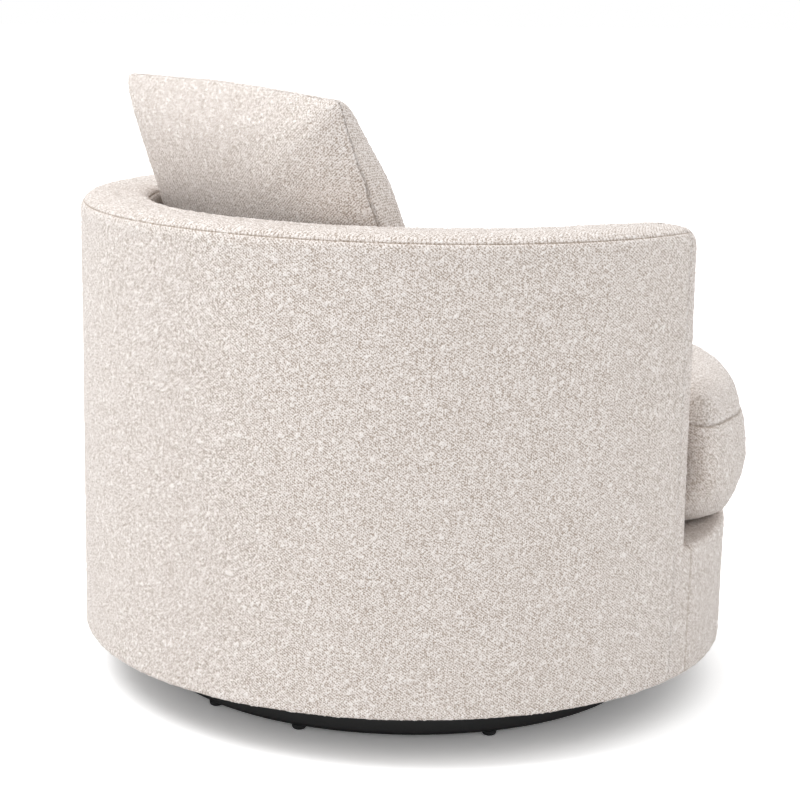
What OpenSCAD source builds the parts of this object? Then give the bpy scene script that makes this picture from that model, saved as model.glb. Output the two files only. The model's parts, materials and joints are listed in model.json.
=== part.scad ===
// Drum-shaped swivel tub chair, in millimetres, +Z up, facing -Y.
// The origin is on the floor under the middle of the whole chair.

/* [Tub] */
// Outside diameter of the upholstered drum
drum_d = 900; // [860:10:960]
// Height of the hem above the floor
hem_z = 65; // [60:1:80]
// Height of the deck that the seat cushion lies on
deck_z = 240; // [225:5:270]
// Height of the rim of the back and arms
rim_z = 665; // [620:5:720]
// Thickness of the padded back and arms
wall_t = 95; // [85:1:110]
// Half of the front opening, measured from straight ahead, in degrees
opening_half = 67.5; // [60:0.5:75]
// Half of the apron, from straight ahead to its side seams, in degrees
apron_half = 68.5; // [62:0.5:76]
// Height of the rounded top of the rim
rim_round = 25; // [18:1:32]
// Depth of the stitched seam below the top of the rim
seam_drop = 11; // [7:1:15]
// Turn around an arm's rounded front at which its panel is sewn, in degrees
arm_seam_turn = 40; // [34:1:70]
// Radius of the top edge of the apron
apron_edge_r = 8; // [6:1:12]

/* [Cloth and padding] */
// Thickness of the looped cloth with its backing
cloth_t = 3; // [2:0.5:4]
// Clearance between neighbouring layers
fit_gap = 0.3; // [0.2:0.1:0.5]
// Thickness of the wadding under the outside cover
wadding_t = 9.4; // [6:0.2:12]
// Thickness of the bent panels
panel_t = 4; // [3:0.5:5]
// Thickness of the foam over the rail
rim_pad = 22; // [16:1:28]
// Thickness of the pad on the deck
deck_pad_t = 8; // [5:1:12]
// Width of the hem turned under the bottom board
hem_turn = 50; // [40:1:70]
// Thickness of the dust cover
dust_t = 1.2; // [0.8:0.2:2]
// Width of the dust cover that lies on the turned hem
dust_lap = 14; // [10:1:20]

/* [Frame] */
// Thickness of the bottom board
board_t = 18; // [15:1:22]
// Radial width of the rails
rail_w = 32; // [28:1:36]
// Thickness of the rails
rail_t = 18; // [15:1:22]
// Radial width of the ring that carries the seat straps
seat_ring_w = 56; // [50:1:70]
// Tangential width of a post
post_w = 45; // [35:1:55]
// Radial thickness of a post
post_t = 28; // [22:1:28]
// Number of studs between the bottom board and the seat ring
stud_count = 10; // [6:1:12]
// Number of posts in the back and arms
post_count = 7; // [5:1:9]
// Width of a seat strap
strap_w = 60; // [50:1:70]
// Thickness of a seat strap
strap_t = 2; // [1.5:0.5:3]
// Distance from one strap to the next
strap_pitch = 92; // [80:1:110]
// Number of straps each way
strap_count = 7; // [5:2:7]

/* [Swivel base] */
// Diameter of the base disc
base_d = 698; // [600:2:740]
// Thickness of the base disc
base_t = 25; // [18:1:28]
// Radius of the base disc's edges
base_edge_r = 6; // [3:1:8]
// Diameter of a glide
glide_d = 19; // [16:1:24]
// Height of a glide below the base disc
glide_h = 7; // [5:1:9]
// Diameter of the flat foot of a glide
glide_foot_d = 10; // [8:1:12]
// Diameter of a glide's nail
glide_nail_d = 4; // [3:0.5:5]
// Length of a glide's nail
glide_nail_l = 15; // [10:1:17]
// Distance of the glides in from the rim of the disc
glide_inset = 12; // [10:1:30]
// Diameter of the riser block
riser_d = 344; // [330:2:400]

/* [Bearing] */
// Diameter of the two steel plates
plate_d = 300; // [290:2:320]
// Thickness of a steel plate
plate_t = 3; // [2:0.5:4]
// Distance between the plates
plate_space = 10; // [10:0.5:12]
// Diameter of a ball
ball_d = 8; // [7:0.5:8]
// Number of balls
ball_count = 20; // [12:1:30]
// Clearance round a ball
ball_gap = 0.3; // [0.2:0.1:0.4]
// Radial width of a race
race_w = 24; // [20:1:26]
// Clearance between the races and the heads of the plate screws
race_gap = 5; // [3:0.5:8]
// Space between the two races
race_space = 2; // [2:0.1:3]
// Thickness of the ball cage
cage_t = 1.2; // [0.8:0.1:1.4]
// Diameter of the pivot pin
pin_d = 16; // [12:1:20]
// Running clearance of the pin, on the radius
pin_gap = 0.05; // [0.02:0.01:0.08]
// Height of the pin's head, washer and nut
pin_head_h = 5; // [4:0.5:6]
// Diameter of the plate screws and bolts
screw_d = 5; // [4:0.5:6]
// Distance of the plate screws and bolts in from the rim of the plates
screw_inset = 12; // [8:0.5:14]
// Height of a screw's head
screw_head_h = 3; // [2.5:0.5:3.5]

/* [Seat cushion] */
// Radius of the cushion's front at its sewn edge
seat_edge_r = 462; // [450:1:470]
// Radius of the cushion's front where it bulges most
seat_bulge_r = 475; // [470:1:490]
// Radius of the cushion's front at the deck
seat_foot_r = 442; // [430:1:448]
// Height of the fullest part of the front above the deck
seat_bulge_h = 81; // [60:1:100]
// Height of the sewn edge above the deck
seat_edge_h = 158; // [140:1:170]
// Height of the crown above the deck
seat_crown_h = 228; // [200:1:240]
// Clearance between the cushion and the back and arms
seat_gap = 3; // [2:0.5:6]
// Radius of the cushion's front corners
seat_corner_r = 22; // [14:1:30]
// How far the sides draw in at the deck between the arms
seat_draw = 8; // [4:1:12]

/* [Pillow] */
// Width of the pillow from ear to ear
pillow_w = 516; // [480:2:540]
// Height of the pillow from ear to ear
pillow_h = 386; // [360:2:420]
// Thickness of the pillow at its crown
pillow_t = 150; // [120:2:160]
// How far the middle of each side draws in
pillow_draw = 14; // [8:1:20]
// Lean of the pillow from upright, in degrees
pillow_lean = 22; // [18:0.5:26]
// Distance of the pillow's foot from the inside of the back
pillow_foot = 204; // [195:1:230]
// Clearance between the pillow's lower ears and the cushion's crown
pillow_rest = 4; // [3:0.2:6]

/* [Hidden] */
$fn = 96;

cream = "#e6dfd5";
timber = "#c8a878";
foam_yellow = "#efe3ae";
white_wadding = "#f2f2ee";
black_paint = "#1b1b1c";
steel = "#b4b6b8";
strap_black = "#3a3a3c";
panel_brown = "#a98a60";
deck_cream = "#d8cfc2";
cage_gold = "#c79a3d";

// A cut reaches this far past the face it opens
over = 1;

// Radii of the drum's layers, from the outside in
drum_r = drum_d / 2;
wall_mid_r = drum_r - wall_t / 2;
wall_in_r = drum_r - wall_t;
skin = cloth_t + fit_gap;
wadding_r = drum_r - skin;
panel_r = wadding_r - wadding_t - fit_gap;
frame_r = panel_r - panel_t - fit_gap;
lining_r = frame_r - rail_w - fit_gap;
foam_r = lining_r - panel_t - fit_gap;
foam_in_r = wall_in_r + skin;

// Heights
board_z = hem_z + cloth_t;
stud_z = board_z + board_t;
deck_pad_z = deck_z - cloth_t - deck_pad_t;
strap_z = deck_pad_z - 2 * strap_t;
seat_ring_z = strap_z - rail_t;
rail_top = rim_z - rim_round - rim_pad;
seam_z = rim_z - seam_drop;
rail_z = rail_top - rail_t;

// The swivel axis stands behind the origin by half of the cushion's overhang
axis_y = (seat_bulge_r - drum_r) / 2;

// Angles of the wall and of the opening about the swivel axis
front_turn = 270;
arm_r = wall_t / 2;
wall_half = opening_half + asin(arm_r / wall_mid_r);
wall_from = front_turn + wall_half;
wall_sweep = 360 - 2 * wall_half;
layer_turn = 0.05; // hair gap between neighbours, in degrees

// Rounded top of the rim
rim_power = 3;
rim_steps = 24;

// Base and bearing heights
base_r = base_d / 2;
glide_ring_r = base_r - glide_inset;
glide_dome_h = glide_h * 0.6;
glide_turns = [42, 98, 122, 165, 222, 278, 302, 345];
riser_z = glide_h + base_t;
upper_plate_z = board_z - plate_t;
lower_plate_z = upper_plate_z - plate_space - plate_t;
riser_t = lower_plate_z - riser_z;
plates_mid_z = upper_plate_z - plate_space / 2;
screw_r = screw_d / 2;
screw_head_r = screw_d;
screw_ring_r = plate_d / 2 - screw_inset;
riser_screw_ring_r = screw_ring_r / 2;
race_r = screw_ring_r - screw_head_r - race_gap - race_w / 2;
screw_turn = 45;
screw_count = 4;
riser_screw_count = 6;
riser_screw_bite = riser_t * 0.7;
hole_gap = 0.2;
cage_inset = 1;
pin_r = pin_d / 2;
pin_head_r = pin_r * 1.75;
nut_across = pin_d * 1.5;
nut_h = pin_head_h * 1.6;
washer_r = pin_r * 2;
washer_t = 2;
pin_end = 2;
riser_hole_r = pin_head_r + 1;
board_hole_r = washer_r + 6;
tee_r = screw_r + 1.4;
tee_barrel_l = 9;
tee_flange_r = tee_r + 6;
tee_flange_t = 1.5;
bolt_end = 2;
dust_hole_r = plate_d / 2 + 2;

// Seat cushion
seat_back_r = wall_in_r - seat_gap;
seat_rise_power = 8;
seat_round_power = 1.9;
seat_foot_power = 1.55;
seat_low_shares = [0, 0.16, 0.4, 0.7, 1];
seat_high_shares = [0.35, 0.7];
seat_reaches = [1, 0.975, 0.93, 0.86, 0.72, 0.45];
seat_front_points = 12;
seat_back_points = 15;
seat_corner_points = 4;
seat_ear_points = 2;

// Pillow
pillow_side_points = 12;
pillow_round_power = 1.7;
pillow_rise_power = 2.4;
pillow_blend_power = 0.7;
pillow_reaches = [0.12, 0.4, 0.65, 0.82, 0.93, 1];
pillow_foot_y = wall_in_r - pillow_foot;
pillow_foot_r = norm([pillow_w / 2, pillow_foot_y]);
pillow_foot_z = deck_z + seat_top(pillow_foot_r / seat_back_r) + pillow_rest;

// Puts a piece that is drawn about the swivel axis in its place
module on_axis() {
    translate([0, axis_y, 0])
        children();
}

// Part of a ring about the swivel axis
module ring_part(inner, outer, low, high, from = 0, sweep = 360) {
    rotate([0, 0, from])
        rotate_extrude(angle = sweep)
            translate([inner, low])
                square([outer - inner, high - low]);
}

// Copies at equal turns about the swivel axis
module around(count, from = 0) {
    for (i = [0 : count - 1])
        rotate([0, 0, from + i * 360 / count])
            children();
}

// Section of the rounded rim, set in from its face, as points from outside to inside
function rim_arc(inset) = [
    for (i = [0 : rim_steps])
        let (
            a = 180 * i / rim_steps,
            x = sign(cos(a)) * pow(abs(cos(a)), 2 / rim_power),
            y = pow(max(sin(a), 0), 2 / rim_power)
        )
        [wall_mid_r + (arm_r - inset) * x, rim_z - rim_round + (rim_round - inset) * y]
];

// Section of the wall, filled, from a given height up to the rounded top
module wall_face(inset, low) {
    polygon(concat(
        [[wall_mid_r + arm_r - inset, low]],
        rim_arc(inset),
        [[wall_mid_r - arm_r + inset, low]]
    ));
}

// Section of the cloth on the wall: a shell as thick as the cloth
module wall_cloth(low) {
    difference() {
        wall_face(0, low);
        wall_face(cloth_t, low - over);
    }
}

// The part of a section that lies between two radii and two heights
module cut_face(inner, outer, low, high) {
    intersection() {
        translate([inner, low])
            square([outer - inner, high - low]);
        children();
    }
}

// The section of a wall layer turned round the back and arms
module wall_sweep_of(from_turn = 0) {
    rotate([0, 0, wall_from + from_turn])
        rotate_extrude(angle = wall_sweep - 2 * from_turn)
            children();
}

// Half-round end of the sitter's right arm, turned from the outside of the drum round the
// front to the inside
module right_arm_end(from, sweep) {
    rotate([0, 0, front_turn - wall_half])
        translate([wall_mid_r, 0, 0])
            rotate([0, 0, from])
                rotate_extrude(angle = sweep)
                    intersection() {
                        translate([-wall_mid_r, 0])
                            children();
                        square([arm_r, rim_z]);
                    }
}

// Half-round end of an arm: side 1 is the sitter's left, side -1 the sitter's right
module arm_end(side, from, sweep) {
    if (side > 0)
        mirror([1, 0, 0])
            right_arm_end(from, sweep)
                children();
    else
        right_arm_end(from, sweep)
            children();
}

// Glides

module glides() {
    on_axis()
        color(black_paint)
            for (turn = glide_turns)
                rotate([0, 0, turn])
                    translate([glide_ring_r, 0, 0])
                        glide();
}

module glide() {
    half = glide_d / 2;
    foot = glide_foot_d / 2;
    rotate_extrude()
        polygon(concat(
            [[0, 0]],
            [for (a = [0 : 15 : 90]) [foot + (half - foot) * sin(a), glide_dome_h * (1 - cos(a))]],
            [[half, glide_h], [0, glide_h]]
        ));
    translate([0, 0, glide_h])
        cylinder(d = glide_nail_d, h = glide_nail_l);
}

// Base disc with rounded edges

module base_disc() {
    on_axis()
        color(black_paint)
            difference() {
                rotate_extrude()
                    base_face();
                for (turn = glide_turns)
                    rotate([0, 0, turn])
                        translate([glide_ring_r, 0, glide_h - over])
                            cylinder(d = glide_nail_d + 2 * hole_gap, h = glide_nail_l + over + fit_gap);
                plate_screw_holes(glide_h + base_t / 2 - fit_gap, riser_z + over);
                riser_screw_holes(glide_h - over, riser_z + over);
            }
}

module base_face() {
    r = base_edge_r;
    polygon(concat(
        [[0, glide_h]],
        [for (a = [0 : 10 : 90]) [base_r - r + r * sin(a), glide_h + r - r * cos(a)]],
        [for (a = [0 : 10 : 90]) [base_r - r + r * cos(a), riser_z - r + r * sin(a)]],
        [[0, riser_z]]
    ));
}

// Screw positions in the base disc, riser block and lower plate
module plate_screw_spots() {
    around(screw_count, screw_turn)
        translate([screw_ring_r, 0, 0])
            children();
}

module riser_screw_spots() {
    around(riser_screw_count)
        translate([riser_screw_ring_r, 0, 0])
            children();
}

module plate_screw_holes(low, high) {
    plate_screw_spots()
        translate([0, 0, low])
            cylinder(r = screw_r + hole_gap, h = high - low);
}

module riser_screw_holes(low, high) {
    riser_screw_spots()
        translate([0, 0, low])
            cylinder(r = screw_r + hole_gap, h = high - low);
    riser_screw_spots()
        translate([0, 0, low])
            cylinder(r = screw_head_r + hole_gap, h = glide_h + screw_head_h + hole_gap - low);
}

module riser_block() {
    on_axis()
        color(black_paint)
            difference() {
                translate([0, 0, riser_z])
                    cylinder(d = riser_d, h = riser_t);
                translate([0, 0, riser_z - over])
                    cylinder(r = riser_hole_r, h = riser_t + 2 * over);
                plate_screw_holes(riser_z - over, lower_plate_z + over);
                riser_screw_spots()
                    translate([0, 0, riser_z - over])
                        cylinder(r = screw_r + hole_gap, h = riser_screw_bite + over + fit_gap);
            }
}

module riser_screws() {
    on_axis()
        color(steel)
            riser_screw_spots() {
                translate([0, 0, glide_h])
                    cylinder(r = screw_head_r, h = screw_head_h);
                translate([0, 0, glide_h + screw_head_h])
                    cylinder(r = screw_r, h = riser_z + riser_screw_bite - glide_h - screw_head_h);
            }
}

// Lower half of the bearing

module plate_face(hole_r) {
    difference() {
        circle(d = plate_d);
        circle(r = hole_r);
    }
}

module lower_plate() {
    on_axis()
        color(steel)
            difference() {
                translate([0, 0, lower_plate_z])
                    linear_extrude(plate_t)
                        plate_face(pin_r + pin_gap);
                plate_screw_holes(lower_plate_z - over, lower_plate_z + plate_t + over);
            }
}

// A race is a flat ring with a round groove for the balls
module race(low, high) {
    rotate_extrude()
        difference() {
            translate([race_r - race_w / 2, low])
                square([race_w, high - low]);
            translate([race_r, plates_mid_z])
                circle(r = ball_d / 2 + ball_gap);
        }
}

module lower_race() {
    on_axis()
        color(steel)
            race(lower_plate_z + plate_t, plates_mid_z - race_space / 2);
}

module plate_screws() {
    head_z = lower_plate_z + plate_t;
    on_axis()
        color(steel)
            plate_screw_spots() {
                translate([0, 0, head_z])
                    cylinder(r = screw_head_r, h = screw_head_h);
                translate([0, 0, glide_h + base_t / 2])
                    cylinder(r = screw_r, h = head_z - glide_h - base_t / 2);
            }
}

module pivot_pin() {
    on_axis()
        color(steel) {
            translate([0, 0, lower_plate_z - pin_head_h])
                cylinder(r = pin_head_r, h = pin_head_h);
            translate([0, 0, lower_plate_z])
                cylinder(r = pin_r, h = board_z + washer_t + nut_h + pin_end - lower_plate_z);
        }
}

module pin_washer() {
    on_axis()
        color(steel)
            translate([0, 0, board_z])
                linear_extrude(washer_t)
                    difference() {
                        circle(r = washer_r);
                        circle(r = pin_r + pin_gap);
                    }
}

module pin_nut() {
    on_axis()
        color(steel)
            translate([0, 0, board_z + washer_t])
                linear_extrude(nut_h)
                    difference() {
                        circle(d = nut_across / cos(30), $fn = 6);
                        circle(r = pin_r + pin_gap);
                    }
}

// Balls and their cage

module ball_cage() {
    on_axis()
        color(cage_gold)
            difference() {
                translate([0, 0, plates_mid_z - cage_t / 2])
                    linear_extrude(cage_t)
                        difference() {
                            circle(r = race_r + race_w / 2 - cage_inset);
                            circle(r = race_r - race_w / 2 + cage_inset);
                        }
                around(ball_count)
                    translate([race_r, 0, plates_mid_z - cage_t])
                        cylinder(r = ball_d / 2 + ball_gap, h = 2 * cage_t);
            }
}

module bearing_balls() {
    on_axis()
        color(steel)
            around(ball_count)
                translate([race_r, 0, plates_mid_z])
                    sphere(d = ball_d);
}

// Upper half of the bearing, under the bottom board

module upper_race() {
    on_axis()
        color(steel)
            race(plates_mid_z + race_space / 2, upper_plate_z);
}

module bolt_spots() {
    around(screw_count)
        translate([screw_ring_r, 0, 0])
            children();
}

module bolt_holes(radius, low, high) {
    bolt_spots()
        translate([0, 0, low])
            cylinder(r = radius, h = high - low);
}

module upper_plate() {
    on_axis()
        color(steel)
            difference() {
                translate([0, 0, upper_plate_z])
                    linear_extrude(plate_t)
                        plate_face(pin_r + pin_gap);
                bolt_holes(screw_r + hole_gap, upper_plate_z - over, board_z + over);
            }
}

module plate_bolts() {
    on_axis()
        color(steel)
            bolt_spots() {
                translate([0, 0, upper_plate_z - screw_head_h])
                    cylinder(r = screw_head_r, h = screw_head_h);
                translate([0, 0, upper_plate_z])
                    cylinder(r = screw_r, h = plate_t + board_t + tee_flange_t + bolt_end);
            }
}

module tee_nuts() {
    on_axis()
        color(steel)
            bolt_spots()
                difference() {
                    union() {
                        translate([0, 0, stud_z - tee_barrel_l])
                            cylinder(r = tee_r, h = tee_barrel_l + tee_flange_t);
                        translate([0, 0, stud_z])
                            cylinder(r = tee_flange_r, h = tee_flange_t);
                    }
                    translate([0, 0, stud_z - tee_barrel_l - over])
                        cylinder(r = screw_r + pin_gap, h = tee_barrel_l + tee_flange_t + 2 * over);
                }
}

// Timber frame

module bottom_board() {
    on_axis()
        color(timber)
            difference() {
                translate([0, 0, board_z])
                    cylinder(r = frame_r, h = board_t);
                translate([0, 0, board_z - over])
                    cylinder(r = board_hole_r, h = board_t + 2 * over);
                bolt_holes(tee_r + hole_gap, board_z - over, stud_z + over);
            }
}

// An upright post just inside the outer panel
module post(low, high) {
    translate([frame_r - post_t - (rail_w - post_t) / 2, -post_w / 2, low])
        cube([post_t, post_w, high - low]);
}

module base_studs() {
    on_axis()
        color(timber)
            around(stud_count, front_turn)
                post(stud_z, seat_ring_z);
}

module seat_ring() {
    on_axis()
        color(timber)
            ring_part(frame_r - seat_ring_w, frame_r, seat_ring_z, strap_z);
}

module wall_posts() {
    step = wall_sweep / (post_count + 1);
    on_axis()
        color(timber)
            for (i = [1 : post_count])
                rotate([0, 0, wall_from + i * step])
                    post(strap_z, rail_z);
}

module arm_posts() {
    turn = asin(post_w / 2 / (frame_r - post_t)) + layer_turn;
    on_axis()
        color(timber) {
            rotate([0, 0, wall_from + turn])
                post(strap_z, rail_z);
            rotate([0, 0, wall_from + wall_sweep - turn])
                post(strap_z, rail_z);
        }
}

module top_rail() {
    on_axis()
        color(timber)
            ring_part(
                frame_r - rail_w, frame_r, rail_z, rail_top,
                wall_from + layer_turn, wall_sweep - 2 * layer_turn
            );
}

module outer_panel() {
    open_turn = wall_half + layer_turn;
    on_axis()
        color(panel_brown)
            difference() {
                ring_part(panel_r - panel_t, panel_r, board_z, rail_top);
                ring_part(
                    panel_r - panel_t - over, panel_r + over, strap_z, rail_top + over,
                    front_turn - open_turn, 2 * open_turn
                );
            }
}

module inner_panel() {
    on_axis()
        color(panel_brown)
            ring_part(
                lining_r - panel_t, lining_r, strap_z, rail_top,
                wall_from + layer_turn, wall_sweep - 2 * layer_turn
            );
}

// One layer of straps across the seat ring
module strap_layer(low) {
    intersection() {
        for (i = [0 : strap_count - 1])
            translate([(i - (strap_count - 1) / 2) * strap_pitch - strap_w / 2, -drum_r, low])
                cube([strap_w, drum_d, strap_t]);
        translate([0, 0, low - over])
            cylinder(r = foam_r, h = strap_t + 2 * over);
    }
}

module cross_straps() {
    on_axis()
        color(strap_black)
            rotate([0, 0, 90])
                strap_layer(strap_z);
}

module long_straps() {
    on_axis()
        color(strap_black)
            strap_layer(strap_z + strap_t);
}

// Padding

module deck_pad() {
    open_turn = wall_half - layer_turn;
    on_axis()
        color(foam_yellow) {
            ring_part(0, wall_in_r - fit_gap, deck_pad_z, deck_z - cloth_t);
            ring_part(
                wall_in_r - over, panel_r, deck_pad_z, deck_z - cloth_t,
                front_turn - open_turn, 2 * open_turn
            );
        }
}

module wall_foam() {
    on_axis()
        color(foam_yellow)
            ring_part(
                foam_in_r, foam_r, deck_pad_z + fit_gap, rail_top,
                wall_from + layer_turn, wall_sweep - 2 * layer_turn
            );
}

module rim_foam() {
    on_axis()
        color(foam_yellow)
            wall_sweep_of(layer_turn)
                wall_face(skin, rail_top + fit_gap);
}

module left_arm_foam() {
    on_axis()
        color(foam_yellow)
            arm_end(1, 0, 180)
                wall_face(skin, deck_z + fit_gap);
}

module right_arm_foam() {
    on_axis()
        color(foam_yellow)
            arm_end(-1, 0, 180)
                wall_face(skin, deck_z + fit_gap);
}

// Section of the apron below the opening, set in from its face, down to a height
function apron_corner(inset) = [
    for (a = [0 : 15 : 90])
        [
            drum_r - apron_edge_r + (apron_edge_r - inset) * cos(a),
            deck_z - apron_edge_r + (apron_edge_r - inset) * sin(a)
        ]
];

module outer_wadding() {
    open_turn = wall_half - layer_turn;
    on_axis()
        color(white_wadding) {
            wall_sweep_of(layer_turn)
                translate([panel_r + fit_gap, board_z + fit_gap])
                    square([wadding_t, rail_top - board_z - fit_gap]);
            rotate([0, 0, front_turn - open_turn])
                rotate_extrude(angle = 2 * open_turn)
                    intersection() {
                        translate([panel_r + fit_gap, board_z + fit_gap])
                            square([wadding_t, deck_z - skin - board_z - fit_gap]);
                        polygon(concat(
                            [[0, board_z], [drum_r - skin, board_z]],
                            apron_corner(skin),
                            [[0, deck_z - skin]]
                        ));
                    }
        }
}

// Covers

module hem_face(high) {
    polygon([
        [drum_r - hem_turn, hem_z],
        [drum_r, hem_z],
        [drum_r, high],
        [drum_r - cloth_t, high],
        [drum_r - cloth_t, board_z],
        [drum_r - hem_turn, board_z]
    ]);
}

module outside_cover() {
    on_axis()
        color(cream) {
            rotate([0, 0, front_turn + apron_half])
                rotate_extrude(angle = 360 - 2 * apron_half)
                    hem_face(deck_z);
            wall_sweep_of()
                cut_face(wall_mid_r, drum_r, deck_z + fit_gap, seam_z)
                    wall_cloth(hem_z);
            for (side = [-1, 1])
                arm_end(side, 0, arm_seam_turn)
                    cut_face(wall_mid_r, drum_r, deck_z + fit_gap, seam_z)
                        wall_cloth(hem_z);
        }
}

module inside_cover() {
    on_axis()
        color(cream) {
            wall_sweep_of()
                cut_face(wall_in_r, wall_mid_r, deck_pad_z + fit_gap, seam_z)
                    wall_cloth(hem_z);
            for (side = [-1, 1])
                arm_end(side, 180 - arm_seam_turn, arm_seam_turn - layer_turn)
                    cut_face(wall_mid_r, drum_r, deck_z + fit_gap, seam_z)
                        wall_cloth(hem_z);
        }
}

module top_band() {
    on_axis()
        color(cream) {
            wall_sweep_of()
                cut_face(wall_in_r, drum_r, seam_z, rim_z)
                    wall_cloth(hem_z);
            for (side = [-1, 1])
                arm_end(side, 0, 180)
                    cut_face(wall_mid_r, drum_r, seam_z, rim_z)
                        wall_cloth(hem_z);
        }
}

module arm_front(side) {
    on_axis()
        color(cream)
            arm_end(side, arm_seam_turn, 180 - 2 * arm_seam_turn)
                cut_face(wall_mid_r, drum_r, deck_z + fit_gap, seam_z)
                    wall_cloth(hem_z);
}

module left_arm_front() {
    arm_front(1);
}

module right_arm_front() {
    arm_front(-1);
}

module front_cover() {
    ledge_r = wall_in_r - cloth_t;
    on_axis()
        color(cream) {
            rotate([0, 0, front_turn - apron_half])
                rotate_extrude(angle = 2 * apron_half)
                    polygon(concat(
                        [[drum_r - hem_turn, board_z], [drum_r - hem_turn, hem_z], [drum_r, hem_z]],
                        apron_corner(0),
                        [[ledge_r, deck_z], [ledge_r, deck_z - cloth_t]],
                        [for (i = [6 : -1 : 0]) apron_corner(cloth_t)[i]],
                        [[drum_r - cloth_t, board_z]]
                    ));
            for (from = [front_turn - wall_half, front_turn + apron_half])
                ring_part(
                    ledge_r, drum_r - cloth_t, deck_z - cloth_t, deck_z,
                    from + layer_turn, wall_half - apron_half - 2 * layer_turn
                );
        }
}

module deck_cover() {
    on_axis()
        color(deck_cream)
            translate([0, 0, deck_z - cloth_t])
                cylinder(r = wall_in_r - cloth_t - fit_gap, h = cloth_t);
}

module dust_cover() {
    on_axis()
        color(strap_black)
            translate([0, 0, hem_z - dust_t])
                linear_extrude(dust_t)
                    difference() {
                        circle(r = drum_r - hem_turn + dust_lap);
                        circle(r = dust_hole_r);
                    }
}

// A solid lofted through rings of points, from the first ring up to the last
module lofted(rings) {
    n = len(rings[0]);
    m = len(rings);
    sides = [
        for (k = [0 : m - 2], i = [0 : n - 1])
            let (a = k * n + i, b = k * n + (i + 1) % n)
            each [[a, a + n, b], [b, a + n, b + n]]
    ];
    ends = [
        [for (i = [0 : n - 1]) i],
        [for (i = [n - 1 : -1 : 0]) (m - 1) * n + i]
    ];
    polyhedron(points = [for (ring = rings) each ring], faces = concat(sides, ends));
}

// Outline of the seat cushion in plan, anticlockwise from the middle of the front.
// Each point is [x, y, share], where share is 1 on the free front and 0 between the arms.
function ear_point(along, ahead, share, side) =
    let (turn = front_turn + side * opening_half)
    [
        along * cos(turn) + side * ahead * sin(turn),
        along * sin(turn) - side * ahead * cos(turn),
        share
    ];

function half_outline(side, edge_r, corner_r, gap) =
    let (
        centre_r = sqrt(pow(edge_r - corner_r, 2) - pow(gap + corner_r, 2)),
        back_r = sqrt(pow(seat_back_r, 2) - gap * gap),
        lead = atan2(gap + corner_r, centre_r),
        front_half = opening_half - lead
    )
    concat(
        [for (i = [0 : seat_front_points - 1])
            let (turn = front_turn + side * front_half * i / seat_front_points)
            [edge_r * cos(turn), edge_r * sin(turn), 1]],
        [for (i = [0 : seat_corner_points])
            let (a = (90 + lead) * i / seat_corner_points - lead)
            ear_point(centre_r + corner_r * cos(a), gap + corner_r - corner_r * sin(a), 1, side)],
        [for (i = [1 : seat_ear_points])
            let (f = i / seat_ear_points)
            ear_point(centre_r + (back_r - centre_r) * f, gap, 1 - f, side)]
    );

// Crown of the cushion above the deck, where reach is 0 in the middle and 1 at the sewn edge
function seat_top(reach) =
    seat_edge_h + (seat_crown_h - seat_edge_h)
        * pow(1 - pow(min(reach, 1), seat_rise_power), 1 / seat_round_power);

// How far the front stands out from the sewn edge at a height above the deck
function seat_swell(h) =
    h < seat_bulge_h
        ? seat_bulge_r - seat_edge_r
            - (seat_bulge_r - seat_foot_r) * pow((seat_bulge_h - h) / seat_bulge_h, seat_foot_power)
        : (seat_bulge_r - seat_edge_r)
            * (1 - pow((h - seat_bulge_h) / (seat_edge_h - seat_bulge_h), 2));

// How far the sides between the arms draw in at a height above the deck
function seat_tuck(h) =
    h < seat_bulge_h ? -seat_draw * pow((seat_bulge_h - h) / seat_bulge_h, 2) : 0;

function seat_outline(inset) =
    let (
        right = half_outline(1, seat_edge_r - inset, seat_corner_r, seat_gap + inset),
        left = half_outline(-1, seat_edge_r - inset, seat_corner_r, seat_gap + inset),
        back_r = seat_back_r - inset,
        turn = opening_half - asin((seat_gap + inset) / seat_back_r)
    )
    concat(
        right,
        [for (i = [1 : seat_back_points])
            let (a = front_turn + turn + (360 - 2 * turn) * i / (seat_back_points + 1))
            [back_r * cos(a), back_r * sin(a), 0]],
        [for (i = [len(left) - 1 : -1 : 1]) left[i]]
    );

// Rings of the seat cushion, set in from its skin
function seat_rings(inset, heights, reaches) =
    let (outline = seat_outline(inset))
    concat(
        [for (h = heights)
            [for (p = outline)
                let (
                    r = norm([p[0], p[1]]),
                    out = r + p[2] * seat_swell(h) + (1 - p[2]) * seat_tuck(h)
                )
                [p[0] * out / r, p[1] * out / r, deck_z + fit_gap + max(h, inset)]]],
        [for (reach = reaches)
            [for (p = outline)
                [p[0] * reach, p[1] * reach, deck_z + fit_gap + seat_top(reach) - inset]]]
    );

// The skin has a ring at each height and reach, and the inside has every other one
module seat_skin() {
    low = [for (share = seat_low_shares) share * seat_bulge_h];
    high = [for (share = seat_high_shares) seat_bulge_h + share * (seat_edge_h - seat_bulge_h)];
    lofted(seat_rings(0, concat(low, high), seat_reaches));
}

module seat_inside(inset) {
    low = [for (i = [0 : 2 : 4]) seat_low_shares[i] * seat_bulge_h];
    reaches = [for (i = [0, 2, 4, 5]) seat_reaches[i]];
    lofted(seat_rings(inset, low, reaches));
}

module seat_cover() {
    on_axis()
        color(cream)
            difference() {
                seat_skin();
                seat_inside(cloth_t);
            }
}

module seat_core() {
    on_axis()
        color(foam_yellow)
            seat_inside(cloth_t + fit_gap);
}

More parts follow.
